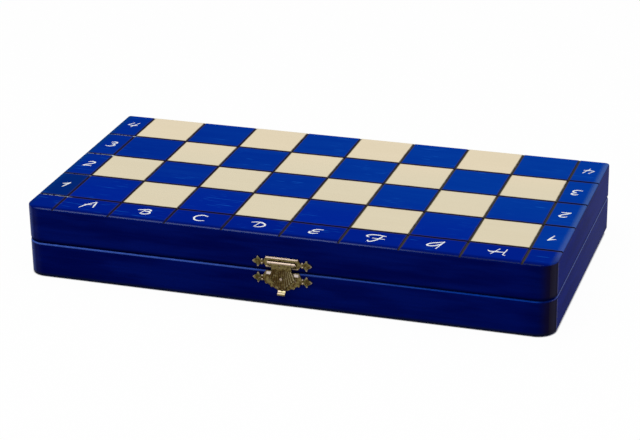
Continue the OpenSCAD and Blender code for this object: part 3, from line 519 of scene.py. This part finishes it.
def board_finish(scene, half, parity):
    """Squares, burnt lines and borders on the face, and the case's stain on the edges below it.

    Limits along x, y and z are in mm.
    """
    board, case = scene.chess_board, scene.chess_case
    material, graph, shader, position, normal = new_finish(
        f"{half} board", {"Specular IOR Level": 0.0, "Coat IOR": 1.5, "Coat Roughness": 0.16})
    square = board.square / MM
    squares_end = 4 * square
    first_row = REAR_Y / MM - squares_end
    x, y, z = graph.split(position)

    # Lines, which the hand let waver a little
    waver = graph.noise(position, 0.22, 2.0) * 0.5 - 0.25
    column = (x + waver) / square
    row = (y - first_row + waver) / square

    def line_distance(place_in_squares):
        return abs(graph.math("FRACT", place_in_squares + 0.5) - 0.5) * square

    last_row = graph.smaller(row, 3.6)
    from_rank = line_distance(last_row)
    distance = graph.smaller(line_distance(column) - board.file_line / MM / 2,
                             from_rank - board.rank_line / MM / 2)
    ragged = graph.noise(position, 1.6) * 0.4 - 0.2
    beyond = distance - ragged
    burnt = beyond.fall(-0.10, 0.25)
    scorched = beyond.fall(0.0, board.scorch / MM)

    # Squares, of which the odd ones are bare
    steps = graph.math("FLOOR", column) + graph.math("FLOOR", row)
    odd = graph.math("FLOORED_MODULO", steps + parity, 2.0) > 0.5
    light = odd * ((abs(x) < squares_end) * (row > 0.0))

    grain = graph.group(wood_grain(), position=position, fibre_length=30.0, fibre_width=0.8, figure=0.45)
    slant = graph.node("Mapping", {"Vector": position, "Rotation": (0, 0, math.radians(3))})
    scratches = graph.group(wood_grain(), position=slant.outputs["Vector"], fibre_length=15.0,
                            fibre_width=0.5, figure=0.3)
    tone = grain["Tone"].ramp(0.36, 0.66)
    border_start = squares_end - 1.0
    border_full = squares_end + 2.0
    stained = graph.mix((x + y).ramp(-160.0, 180.0), board.blue, board.blue_faded)
    stained = graph.mix(tone * 0.06, stained, board.blue_streak)
    near = graph.blend(abs(x).ramp(border_start, border_full), y.fall(-45.0, 0.0, 0.75), 0.0)
    stained = graph.mix(near, stained, board.blue_near)
    second_row = first_row + square
    first_cell = x.fall(-border_full, -border_start, 0.75) * y.fall(second_row - 3.5, second_row + 2.5)
    stained = graph.mix(first_cell, stained, board.corner_blue)
    stained = graph.mix(row.fall(-0.04, 0.0, 0.85), stained, board.blue_border)
    stained = graph.mix(scratches["Streak"] * 0.45, stained, board.blue_streak)
    # Light squares: darker fibres, and painted shade darkening them towards the front
    bare = graph.mix(tone * 0.12 + y.fall(-60.0, 50.0, 0.16), board.cream, board.cream_fibre)
    bare = graph.mix(y.fall(10.0, 50.0), bare, board.cream_near, "MULTIPLY")
    face = graph.mix(light, stained, bare)
    face = graph.mix(scorched * 0.6, face, board.scorched)

    # Lines: charred, paler to the right, with painted glint dashes in the left border's rank lines
    from_side = HALF_WIDTH / MM - abs(x)
    from_front = y - FRONT_Y / MM
    ashen = x.ramp(-60.0, 60.0) * from_rank.ramp(0.6, 1.2) * from_front.ramp(1.0, 3.0, 0.35, 1.0)
    face = graph.mix(burnt, face, graph.mix(ashen, board.burnt, board.ash))
    # Painted glint: pale dashes along the rank lines of the left border, weaker on the second line
    dashes = graph.noise(graph.join(x * 0.6, y * 0.4, 0.0), detail=2.0)
    second = graph.math("COMPARE", last_row, 1.0, 0.5)
    glint_dashes = (dashes.ramp(0.40, 0.50) * x.fall(-squares_end, -0.97 * squares_end)
               * from_rank.fall(0.36, 0.72) * (1.0 - second * 0.75))
    face = graph.mix(glint_dashes * 0.9, face, board.glint)

    # Edges: stain that gathered at the front and dried at the sides, and the rubbed front rounding
    corner = from_side.fall(0.8, 4.0, 0.8) * from_front.fall(8.0, 18.0)
    gathered = graph.larger(from_front.fall(1.8, 5.0, 0.95), corner)
    edges = graph.mix(gathered, face, board.blue_edge)
    beside = from_side.fall(0.8, 4.5, 0.85) * from_front.ramp(4.0, 70.0, 0.3, 1.0)
    edges = graph.mix(beside, edges, graph.mix(x.ramp(*TO_RIGHT), board.left_edge, board.right_edge))
    rounding = graph.mix(x.ramp(40.0, 90.0), board.worn_edge, board.dull_edge)
    edges = graph.mix(from_front.fall(0.6, 1.3, 0.9), edges, rounding)
    face = graph.mix(graph.larger(burnt, glint_dashes), edges, face)

    # Below the face the panel's edges are stained as the walls are
    stain = stained_case(graph, case, position, normal)
    masks = graph.group(roundings(), normal=normal)
    low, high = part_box(f"{half}_board")
    outer = (high if half == "upper" else low).z / MM
    on_face = masks["Up"] * abs(z - outer).fall(1.4, 2.2)
    lit_front = from_front.fall(0.7, 1.5) * x.ramp(*DULLING, case.gloss, 0.25 * case.gloss)
    lit_side = (from_side.fall(-0.1, 3.9) * case.side_gloss * x.ramp(*TO_RIGHT, 0.05, 1.0)
                * from_front.ramp(4.0, 16.0, 0.4, 1.0))
    bevel = graph.blend(masks["Side"], masks["Front edge"], masks["Side edge"])
    varnish = graph.larger(lit_front, lit_side) * (bevel * graph.blend(burnt, 1.0, 0.1))
    matt = graph.larger(burnt, light * 0.4)
    graph.feed_all(shader, {"Base Color": graph.mix(on_face, stain["Color"], face),
                            "Coat Weight": graph.blend(on_face, stain["Coat"], varnish),
                            "Roughness": graph.blend(matt, 0.45, 0.7)})
    bump(graph, shader, grain["Height"] * 0.5 - burnt, 0.05 * MM, 0.6)
    return material


class CHESS_OT_board(bpy.types.Operator):
    """Stain, bare squares and burnt lines on both outer faces"""

    bl_idname = "chess_set.board"
    bl_label = "Board"

    def execute(self, context):
        for half, parity in (("upper", 0), ("lower", 1)):
            wear_finish(board_finish(context.scene, half, parity), f"{half}_board")
        return {"FINISHED"}


# The case walls

class CHESS_OT_case(bpy.types.Operator):
    """Blue stain on the eight walls"""

    bl_idname = "chess_set.case"
    bl_label = "Case walls"

    def execute(self, context):
        material, graph, shader, position, normal = new_finish(
            "case stain", {"Specular IOR Level": 0.0, "Coat IOR": 1.5, "Coat Roughness": 0.14})
        stain = stained_case(graph, context.scene.chess_case, position, normal)
        graph.feed_all(shader, {"Base Color": stain["Color"], "Coat Weight": stain["Coat"],
                                "Roughness": stain["Roughness"]})
        bump(graph, shader, stain["Height"], 0.03 * MM, 0.6)
        wear_finish(material, *(f"{half}_{side}_wall" for half in ("upper", "lower")
                                for side in ("front", "rear", "left", "right")))
        return {"FINISHED"}


# Lettering: brush strokes in mm about the middle of a cell

LETTER_STROKES = {
    "A": (((-3.4, -2.4), (-1.1, 1.9), (2.7, 6.3)), ((2.9, 6.4), (3.2, 2.9), (3.6, -0.9)),
          ((-2.3, 2.2), (1.8, 2.4))),
    "B": (((-3.4, 2.8), (0, 3.8), (2.8, 4.1), (3.3, 2.7), (0.6, 1.9)),
          ((0.6, 1.9), (3.5, 1.2), (3.5, -0.4), (1, -1.5), (-0.9, -1.1)), ((0.6, 3.9), (-0.9, -1.1))),
    "C": (((3.75, 3.9), (0.6, 4.9), (-2.3, 2.9), (-2.6, 0.6), (-0.6, -1.9), (3.5, -1.4)),),
    "D": (((-3.4, 3.4), (0, 4.3), (1.5, 4.1), (3.6, 2.7), (4.2, 0.9), (2.8, -0.9), (0, -1.7)),
          ((0.9, 4.0), (-0.7, -1.5))),
    "E": (((3.8, 3.7), (-0.2, 2.9), (-0.9, 1.3), (2.4, 1.3)),
          ((-0.9, 1.3), (-2.4, -0.8), (-1.1, -1.7), (2.2, -0.9))),
    "F": (((-2.6, 1.3), (-4.0, 2.8), (-2.7, 4.2), (1.25, 4.8), (5.4, 4.1)),
          ((3.75, 4.2), (2.9, 1.4), (1.25, -1.7), (-1.5, -3.5), (-2.3, -2.1)),
          ((-0.8, 0.7), (5.6, 0.5))),
    "G": (((4.1, 5.4), (0.75, 3.75), (-2.2, 2.1), (-3.2, -0.2), (-0.9, -0.6), (2, 1.25), (4.1, 5)),
          ((4.1, 5.8), (1.8, -3.5))),
    "H": (((-3.9, 1.9), (-2.6, 0.9), (0, 1.1), (4.5, 1.2)), ((1.5, 4.9), (-1.8, -1.9)),
          ((5.0, 4.9), (4.0, -1.8)), ((4.0, -1.8), (5.4, -2.1))),
}
FIGURE_STROKES = {
    "1": (((-1.6, 1.1), (0.3, 1.7), (2.2, 3.3)), ((2.2, 3.3), (1.0, 0), (-0.1, -3.1))),
    "2": (((-1.0, 2.5), (0.8, 3.5), (2.8, 2.7), (2.2, 1.1), (-0.5, -0.9), (-2.2, -2.8)),
          ((-2.2, -2.8), (0.4, -2.2), (2.8, -2.4))),
    "3": (((-0.6, 2.6), (1.2, 3.6), (2.8, 2.6), (0.6, 0.6)),
          ((0.6, 0.6), (2.6, -0.5), (1.2, -2.6), (-2.0, -2.5))),
    "4": (((0.0, 3.7), (-2.5, -0.1)), ((-2.5, -0.1), (0.4, -0.5), (3.2, -0.1)), ((3.0, 3.8), (0.1, -2.9))),
    "5": (((2.8, 3.3), (-0.6, 3.1), (-1.2, 0.8)), ((-1.2, 0.8), (1.9, 0.8), (1.7, -2.3), (-2.2, -2.8))),
    "6": (((2.2, 3.4), (-0.8, 1.4), (-2.0, -1.6), (0.2, -3.0), (2.1, -1.4), (0.4, 0.1), (-1.7, -0.8)),),
    "7": (((-2.0, 2.8), (2.6, 3.1), (0.6, 0.2), (-0.7, -3.0)), ((-1.2, 0.1), (2.0, 0.3))),
    "8": (((1.8, 2.7), (-0.4, 3.3), (-1.3, 1.9), (1.5, -0.6), (1.2, -2.6), (-1.3, -2.9),
           (-1.8, -1.3), (1.2, 0.9), (1.8, 2.7)),),
}
# How far the hand set each rank's two numerals towards the hinges, in mm
RANK_DRIFT = (-0.4, 0.0, 0.1, 0.8)


def brush_strokes(name, strokes, letters):
    """Mesh of brush strokes, tapering to both ends and lying half sunk in z = 0."""
    curve = bpy.data.curves.new(name, "CURVE")
    curve.dimensions = "3D"
    curve.bevel_depth = letters.stroke / 2
    curve.bevel_resolution = 2
    curve.resolution_u = 6
    curve.use_fill_caps = True
    for points in strokes:
        spline = curve.splines.new("BEZIER")
        spline.bezier_points.add(len(points) - 1)
        for i, (spot, (x, y)) in enumerate(zip(spline.bezier_points, points)):
            spot.co = (x * MM, y * MM, 0)
            spot.handle_left_type = spot.handle_right_type = "AUTO"
            spot.radius = letters.tip if i in (0, len(points) - 1) else letters.body
    drawn = bpy.data.objects.new(name, curve)
    mesh = bpy.data.meshes.new_from_object(drawn)
    bpy.data.objects.remove(drawn)
    mesh.transform(Matrix.Diagonal((1, 1, 2 * letters.proud / letters.stroke, 1)))
    return mesh


def joined(name, placed):
    """One object at the origin from meshes and their places."""
    whole = bmesh.new()
    for mesh, matrix in placed:
        mesh.transform(matrix)
        whole.from_mesh(mesh)
    bmesh.ops.recalc_face_normals(whole, faces=whole.faces)
    mesh = bpy.data.meshes.new(name)
    whole.to_mesh(mesh)
    whole.free()
    mesh.shade_smooth()
    made = bpy.data.objects.new(name, mesh)
    bpy.context.scene.collection.objects.link(made)
    return made


class CHESS_OT_lettering(bpy.types.Operator):
    """Painted files and ranks on both faces"""

    bl_idname = "chess_set.lettering"
    bl_label = "Lettering"

    def execute(self, context):
        scene = context.scene
        letters = scene.chess_letters
        square = scene.chess_board.square
        first_row = REAR_Y - 4 * square
        file_y = (FRONT_Y + first_row) / 2
        border_x = (4 * square + HALF_WIDTH) / 2
        material, graph, shader, position, _ = new_finish(
            "lettering paint", {"Specular IOR Level": 0.3, "Roughness": 0.45})
        thin = graph.noise(position, 1.1).fall(0.35, 0.65, 0.12)
        graph.feed(shader.inputs["Base Color"],
                   graph.mix(thin, letters.paint, scene.chess_board.blue_streak))
        bump(graph, shader, graph.noise(position, 2.5), 0.02 * MM)

        def sign(text, x, y, top, turned):
            strokes = {**LETTER_STROKES, **FIGURE_STROKES}[text]
            spin = Matrix.Rotation(math.pi if turned else 0, 4, "Z")
            flip = Matrix.Identity(4) if top else Matrix.Rotation(math.pi, 4, "Y")
            spot = Vector((x, y, (CASE_HIGH if top else CASE_LOW).z))
            mesh = brush_strokes(text, strokes, letters)
            return mesh, Matrix.Translation(spot) @ flip @ spin

        for half, top in (("upper", True), ("lower", False)):
            files = [sign(text, (-3.5 + i) * square * (1 if top else -1), file_y, top, not top)
                     for i, text in enumerate(FILES)]
            ranks = []
            for i in range(4):
                text = str(i + 1) if top else str(8 - i)
                y = first_row + (i + 0.5) * square + RANK_DRIFT[i] * MM
                for side in (-1, 1):
                    ranks.append(sign(text, side * border_x, y, top, (side > 0) == top))
            for kind, placed in (("letters", files), ("numbers", ranks)):
                made = joined(f"{half}_{kind}", placed)
                made.data.materials.append(material)
                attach(made, f"{half}_case")
        return {"FINISHED"}


# Brass

@shared
def old_brass():
    """Brass that dulled: bright where Rubbed and Touched say, which carry both wear and painted highlights,
    dark in the hollows, green in places.
    """
    graph, entry, end = new_group(
        "old_brass",
        {"Vector": ["Position"], "Color": ["Polished", "Handled", "Aged", "Patina", "Verdigris"],
         "Float": ["Rubbed", "Hollow", "Touched", "Green"]},
        {"Color": ["Color"], "Float": ["Roughness", "Height"]})
    position = entry["Position"]
    cloud = graph.noise(position, 0.75, roughness=0.6)
    fine = graph.noise(position, 5.0)
    spots = graph.noise(graph.vector("ADD", graph.scaled(position, 0.9), (7.0, 3.0, 11.0)), detail=2.0)
    dark = entry["Hollow"] + cloud.ramp(0.38, 0.62, -0.45, 0.55)
    base = graph.mix(dark.ramp(0.0, 1.0), entry["Aged"], entry["Patina"])
    base = graph.mix(entry["Green"] * spots.ramp(0.40, 0.58), base, entry["Verdigris"])
    flecks = spots.ramp(0.58, 0.70) * 0.45
    rub = graph.larger(entry["Rubbed"], flecks) + fine.ramp(0.3, 0.7, -0.12, 0.12)
    bright = graph.mix(entry["Touched"], entry["Polished"], entry["Handled"])
    graph.feed_all(end, {"Color": graph.mix(rub.ramp(0.1, 0.9), base, bright),
                         "Roughness": rub.ramp(0.0, 1.0, 0.42, 0.24), "Height": fine})
    return graph.tree


def plate_wear(graph, brass, position, normal):
    """The clasp's plates: brads in dark hollows, green ends, upward faces painted lighter (painted
    highlight), and an upper slope painted white beside the hasp (painted reflection).
    """
    x, _, z = graph.split(position)
    _, _, facing_up = graph.split(normal)
    low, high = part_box("clasp_plate")
    middle = (low.x + high.x) / 2 / MM
    brad_x = (high.x - low.x) / 2 - brass.point_reach
    from_brad = abs(x - middle) - brad_x / MM
    at_end = from_brad.ramp(-1.6, -1.2)

    # Both plates have a brad near each end
    catch_low, catch_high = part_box("catch_plate")
    upper_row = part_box("hasp_pin")[0].z + brass.brad_rise
    lower_row = (catch_low.z + catch_high.z) / 2 + brass.brad_rise
    from_row = graph.smaller(abs(z - upper_row / MM), abs(z - lower_row / MM))
    away = graph.vector("LENGTH", graph.join(from_brad, from_row, 0.0))
    tip = at_end * away.ramp(1.3, 2.6)
    well = at_end * away.fall(0.9, 1.7, 0.75)

    # The catch plate's upper slope is painted white (a painted reflection) where it shows beside the hasp,
    # and dull beyond
    below_top = catch_high.z / MM - z
    slope = below_top.band(-0.5, -0.3, 2.0, 2.4) * (1.0 - at_end)
    shown = from_brad.ramp(-4.7, -3.9, 1.0, 0.25) * below_top.ramp(0.3, 0.7, 0.2, 1.0)
    # Faces that point up are painted bright: painted highlight
    up = facing_up.ramp(0.12, 0.32) * graph.blend(slope, 1.0, shown)
    on_catch = z.fall(SEAM_Z / MM - 1.0, SEAM_Z / MM, 0.3) * x.ramp(0.0, 12.0, 1.0, 0.5)
    return {"rubbed": graph.larger(up, tip * 0.6), "hollow": well + on_catch + 0.25, "touched": slope,
            "green": at_end * from_row.ramp(0.3, 1.6, 0.15, 0.55)}


def hasp_wear(graph, brass, position, normal):
    """The hasp: flute crests facing up and right painted bright (painted highlight) and a rubbed boss on a
    dark shell, and a tab with painted highlight stripes in the yellow that fingers keep.
    """
    x, y, z = graph.split(position)
    nx, _, nz = graph.split(normal)
    low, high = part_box("hasp")
    middle = (low.x + high.x) / 2 / MM
    relief = FRONT_Y / MM - y
    above = z - SEAM_Z / MM
    tab_top = (-9.8, -9.2)
    shell = above.band(*tab_top, 0.8, 1.4)
    # Painted highlight on flute crests that face up and to the right, stronger on the right half
    crest_highlight = (nx * 0.5 + nz).ramp(0.12, 0.42) * x.ramp(middle - 3.0, middle + 2.5, 0.12, 0.62)
    boss_foot = (2.45, 2.9)
    # Off the shell, faces that point up are painted bright (painted highlight); on it, the crests and the
    # rubbed boss
    rubbed = graph.blend(shell, nz.ramp(0.12, 0.45), graph.larger(crest_highlight, relief.ramp(*boss_foot) * 1.3))
    # Painted highlight stripes across the tab
    highlight_stripes = graph.noise(graph.join(0.0, 0.0, z * 1.6)).ramp(0.4, 0.6)
    on_tab = above.fall(*tab_top) * (x.ramp(middle - 2.0, middle + 0.5) * highlight_stripes)
    return {"rubbed": rubbed * (z - low.z / MM).ramp(0.7, 1.3, 0.3, 1.0),
            "hollow": graph.blend(shell, 0.15, 1.0),
            "touched": graph.larger(on_tab, shell * relief.fall(*boss_foot, 0.7)), "green": 0.0}


def hinge_wear(graph, brass, position, normal):
    """The hinges: painted lighter where they face up (painted highlight)."""
    _, _, facing_up = graph.split(normal)
    return {"rubbed": facing_up.ramp(0.15, 0.75) * 0.5, "hollow": 0.25, "touched": 0.0, "green": 0.0}


def brass_finish(scene, name, wear, handled):
    """Old brass; wear gives its rubbed (rubbed and painted highlight), hollow, touched (touched and painted
    highlight) and green places, handled the touched colour.
    """
    brass = scene.chess_brass
    material, graph, shader, position, normal = new_finish(name, {"Metallic": 1.0})
    places = wear(graph, brass, position, normal)
    places["rubbed"] = places["rubbed"] * brass.wear
    metal = graph.group(old_brass(), position=position, polished=brass.polished, handled=handled,
                        aged=brass.aged, patina=brass.patina, verdigris=brass.verdigris, **places)
    graph.feed_all(shader, {"Base Color": metal["Color"], "Roughness": metal["Roughness"]})
    bump(graph, shader, metal["Height"], 0.02 * MM, 0.5)
    return material


class CHESS_OT_clasp(bpy.types.Operator):
    """Old brass on the clasp"""

    bl_idname = "chess_set.clasp"
    bl_label = "Clasp"

    def execute(self, context):
        brass = context.scene.chess_brass
        plates = brass_finish(context.scene, "plate brass", plate_wear, brass.lip)
        wear_finish(plates, "clasp_plate", "hasp_pin", "catch_plate", "upper_brads", "lower_brads")
        wear_finish(brass_finish(context.scene, "hasp brass", hasp_wear, brass.fresh), "hasp")
        return {"FINISHED"}


class CHESS_OT_hinges(bpy.types.Operator):
    """Old brass on the butt hinges"""

    bl_idname = "chess_set.hinges"
    bl_label = "Hinges"

    def execute(self, context):
        fresh = context.scene.chess_brass.fresh
        material = brass_finish(context.scene, "hinge brass", hinge_wear, fresh)
        wear_finish(material, *(f"{side}_hinge_{part}" for side in ("left", "right")
                                for part in ("lower_leaf", "upper_leaf", "pin")))
        return {"FINISHED"}


# Inside

def mottled(graph, pattern, base, factor):
    """A colour that passes into its multiple where the pattern is high."""
    return graph.mix(pattern, base, tuple(factor * part for part in base))


class CHESS_OT_trays(bpy.types.Operator):
    """Flocked trays and the steel sheets under them"""

    bl_idname = "chess_set.trays"
    bl_label = "Trays"

    def execute(self, context):
        inside = context.scene.chess_inside
        material, graph, shader, position, _ = new_finish(
            "flock", {"Specular IOR Level": 0.1, "Roughness": 0.95, "Sheen Weight": 0.35,
                      "Sheen Roughness": 0.4})
        nap = graph.noise(position, 4.0, 4.0, 0.7)
        lay = graph.noise(position, 0.12)
        tone = lay * 0.9 + nap * 0.9
        graph.feed(shader.inputs["Base Color"], mottled(graph, tone.ramp(0.6, 1.2), inside.flock, 1.9))
        bump(graph, shader, nap, 0.12 * MM)
        wear_finish(material, "lower_tray", "upper_tray")

        sheet, graph, shader, position, _ = new_finish("rolled steel", {"Metallic": 1.0})
        rolled = graph.noise(graph.vector("MULTIPLY", position, (0.04, 2.5, 2.5)))
        graph.feed_all(shader, {"Base Color": mottled(graph, rolled.ramp(0.3, 0.7), inside.steel, 0.75),
                                "Roughness": rolled.ramp(0.3, 0.7, 0.3, 0.45)})
        bump(graph, shader, rolled, 0.01 * MM)
        wear_finish(sheet, "lower_steel_sheet", "upper_steel_sheet")
        return {"FINISHED"}


def turned_wood(name, base):
    """Varnished wood whose fibres run along the lying chessmen."""
    material, graph, shader, position, _ = new_finish(
        name, {"Coat Weight": 0.35, "Coat Roughness": 0.2, "Specular IOR Level": 0.3})
    x, y, z = graph.split(position)
    grain = graph.group(wood_grain(), position=graph.join(y, x, z), fibre_length=9.0,
                        fibre_width=0.35, figure=0.5)
    tone = grain["Tone"]
    graph.feed_all(shader, {"Base Color": mottled(graph, tone.ramp(0.35, 0.65), base, 0.55),
                            "Roughness": tone.ramp(0.3, 0.7, 0.35, 0.5)})
    bump(graph, shader, grain["Height"], 0.03 * MM, 0.6)
    return material


class CHESS_OT_chessmen(bpy.types.Operator):
    """Natural and stained chessmen and the magnets in their bases"""

    bl_idname = "chess_set.chessmen"
    bl_label = "Chessmen"

    def execute(self, context):
        inside = context.scene.chess_inside
        for army, base in (("light", inside.maple), ("dark", inside.stained)):
            men = [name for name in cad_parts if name.startswith(army + "_") and "magnets" not in name]
            wear_finish(turned_wood(f"{army} chessmen", base), *men)
        material, graph, shader, position, _ = new_finish("nickel", {"Metallic": 1.0})
        cloud = graph.noise(position, 1.5)
        graph.feed_all(shader, {"Base Color": mottled(graph, cloud.ramp(0.3, 0.7), inside.nickel, 0.8),
                                "Roughness": cloud.ramp(0.3, 0.7, 0.18, 0.32)})
        wear_finish(material, "light_magnets", "dark_magnets")
        return {"FINISHED"}


# Stage

def lamp(name, spot, aim, size, brightness):
    """A soft white panel lamp of that radiance, facing aim."""
    light = bpy.data.lights.new(name, "AREA")
    light.shape = "RECTANGLE"
    light.size, light.size_y = size
    light.energy = brightness * math.pi * size[0] * size[1]
    made = bpy.data.objects.new(name, light)
    made.location = spot
    made.rotation_mode = "QUATERNION"
    made.rotation_quaternion = (Vector(aim) - Vector(spot)).to_track_quat("-Z", "Y")
    bpy.context.scene.collection.objects.link(made)


def seen_white(graph, surface_output, lit, emitted, share_white):
    """Mixes in plain white for rays from the camera and from gloss and glass."""
    path = graph.fields(graph.node("LightPath"))
    seen = graph.larger(path["Is Camera Ray"], graph.larger(path["Is Glossy Ray"],
                                                            path["Is Transmission Ray"]))
    made = graph.node("MixShader", {"Fac": seen * share_white, 1: lit, 2: emitted})
    graph.feed(surface_output, made.outputs[0])


class CHESS_OT_stage(bpy.types.Operator):
    """Pale floor, soft lamps, white surroundings and the camera"""

    bl_idname = "chess_set.stage"
    bl_label = "Stage"

    def execute(self, context):
        scene = context.scene
        stage = scene.chess_stage
        self.floor(stage)
        self.world(scene, stage)
        middle = (0, 0, SEAM_Z)
        lamp("softbox", stage.softbox_spot, middle, SOFTBOX_SIZE, stage.softbox)
        lamp("side lamp", stage.side_lamp_spot, middle, SIDE_LAMP_SIZE, stage.side_lamp)
        self.camera(scene, stage)
        scene.view_settings.view_transform = "Standard"
        return {"FINISHED"}

    def floor(self, stage):
        grid = bmesh.new()
        bmesh.ops.create_grid(grid, x_segments=1, y_segments=1, size=FLOOR_REACH)
        bmesh.ops.translate(grid, verts=grid.verts, vec=(0, 0, CASE_LOW.z - FLOOR_DROP))
        mesh = bpy.data.meshes.new("floor")
        grid.to_mesh(mesh)
        grid.free()
        floor = bpy.data.objects.new("floor", mesh)
        bpy.context.scene.collection.objects.link(floor)
        material = bpy.data.materials.new("floor")
        material.use_nodes = True
        graph = Graph(material.node_tree)
        material.node_tree.nodes.clear()
        lit = graph.node("BsdfDiffuse", {"Color": stage.ground}).outputs[0]
        white = graph.node("Emission", {"Color": (1, 1, 1), "Strength": 1.0}).outputs[0]
        end = graph.node("OutputMaterial")
        spot = graph.scaled(graph.node("TexCoord").outputs["Object"], 1 / MM)
        across, deep, _ = graph.split(graph.vector("ABSOLUTE", spot))
        outside = graph.join(
            graph.larger(across - (HALF_WIDTH / MM - CORNER), 0.0),
            graph.larger(deep - (-FRONT_Y / MM - CORNER), 0.0), 0.0)
        beyond = graph.vector("LENGTH", outside) - CORNER
        seen_white(graph, end.inputs["Surface"], lit, white, beyond.ramp(-0.4, 0.5, 0.0, 0.97))
        mesh.materials.append(material)

    def world(self, scene, stage):
        world = bpy.data.worlds.new("room")
        world.use_nodes = True
        scene.world = world
        graph = Graph(world.node_tree)
        world.node_tree.nodes.clear()
        room = graph.node("Background", {"Color": (1, 1, 1), "Strength": stage.sky}).outputs[0]
        white = graph.node("Background", {"Color": (1, 1, 1), "Strength": 1.0}).outputs[0]
        end = graph.node("OutputWorld")
        seen_white(graph, end.inputs["Surface"], room, white, 1.0)

    def camera(self, scene, stage):
        data = bpy.data.cameras.new("camera")
        data.sensor_width = 36.0
        data.lens = stage.lens
        made = bpy.data.objects.new("camera", data)
        sight = Vector(stage.aim) - Vector(stage.eye)
        level = sight.to_track_quat("-Z", "Y").to_matrix().to_4x4()
        made.matrix_world = (Matrix.Translation(stage.eye) @ level
                             @ Matrix.Rotation(-stage.roll, 4, "Z"))
        scene.collection.objects.link(made)
        scene.camera = made


SETTINGS = {
    "chess_board": BoardSettings,
    "chess_case": CaseSettings,
    "chess_letters": LetterSettings,
    "chess_brass": BrassSettings,
    "chess_inside": InsideSettings,
    "chess_stage": StageSettings,
}
STEPS = (CHESS_OT_board, CHESS_OT_case, CHESS_OT_lettering, CHESS_OT_clasp, CHESS_OT_hinges,
         CHESS_OT_trays, CHESS_OT_chessmen, CHESS_OT_stage)


class CHESS_PT_steps(bpy.types.Panel):
    """Lists the steps that dress the chess set"""

    bl_label = "Chess Set"
    bl_space_type = "VIEW_3D"
    bl_region_type = "UI"
    bl_category = "Chess Set"

    def draw(self, context):
        for step in STEPS:
            self.layout.operator(step.bl_idname)
        for name, group in SETTINGS.items():
            box = self.layout.box()
            for prop in group.__annotations__:
                box.prop(getattr(context.scene, name), prop)


CLASSES = (*SETTINGS.values(), *STEPS, CHESS_PT_steps)


def register():
    for item in CLASSES:
        bpy.utils.register_class(item)
    for name, group in SETTINGS.items():
        setattr(bpy.types.Scene, name, PointerProperty(type=group))


def unregister():
    for name in SETTINGS:
        delattr(bpy.types.Scene, name)
    for item in reversed(CLASSES):
        bpy.utils.unregister_class(item)


def main():
    register()
    for step in STEPS:
        name = step.bl_idname.split(".")[1]
        getattr(bpy.ops.chess_set, name)()


if __name__ == "__main__":
    main()
